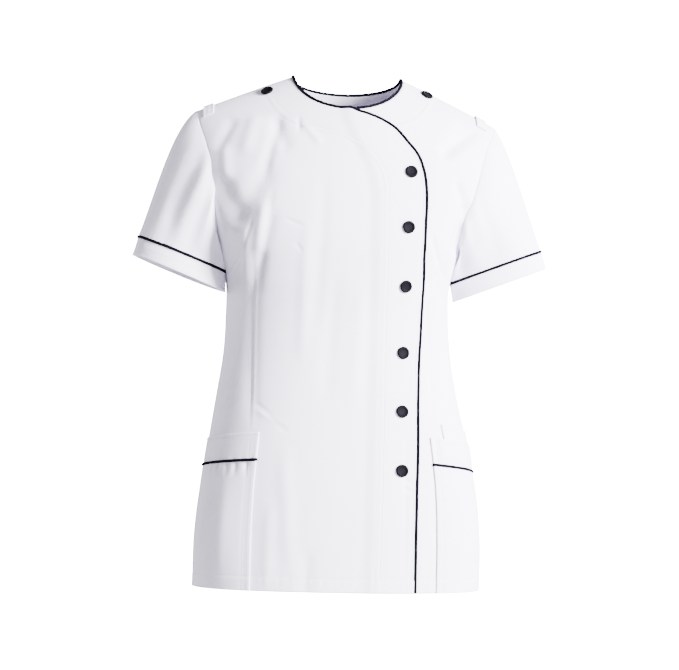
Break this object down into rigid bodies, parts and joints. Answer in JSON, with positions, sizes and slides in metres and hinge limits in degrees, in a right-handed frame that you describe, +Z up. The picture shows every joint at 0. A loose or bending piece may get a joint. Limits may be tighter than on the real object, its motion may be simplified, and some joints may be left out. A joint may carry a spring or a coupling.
{
  "type": "work blouse",
  "caption": "Short-sleeved work tunic with an offset button front, contrast piping, hip pockets and banded cuffs, hollow as worn.",
  "frame": {"origin": "midway between the two shoulder seams, at the height of their neck ends, where the wearer's shoulders hold the garment", "axes": "+Z up, -Y is the garment's front, +X is the wearer's left"},
  "size_m": [0.6056, 0.2473, 0.7394],
  "materials": {
    "cloth": "plain cotton and polyester weave, white",
    "piping": "dark navy bias piping",
    "button": "dark navy matte caps"
  },
  "bodies": {
    "root": {"front_right": "cloth", "front_left": "cloth", "back": "cloth", "sleeve_right": "cloth", "sleeve_left": "cloth", "cuff_right": "cloth", "cuff_left": "cloth", "pocket_right": "cloth", "pocket_left": "cloth", "pocket_band_right": "cloth", "pocket_band_left": "cloth", "pocket_inner_left": "cloth", "shoulder_loop_right": "cloth", "shoulder_loop_left": "cloth", "front_piping": "piping", "neck_piping": "piping", "cuff_piping_right": "piping", "cuff_piping_left": "piping", "pocket_piping_right": "piping", "pocket_piping_left": "piping", "button_1": "button", "button_2": "button", "button_3": "button", "button_4": "button", "button_5": "button", "button_6": "button", "shoulder_button_right": "button", "shoulder_button_left": "button"}
  },
  "joints": []
}
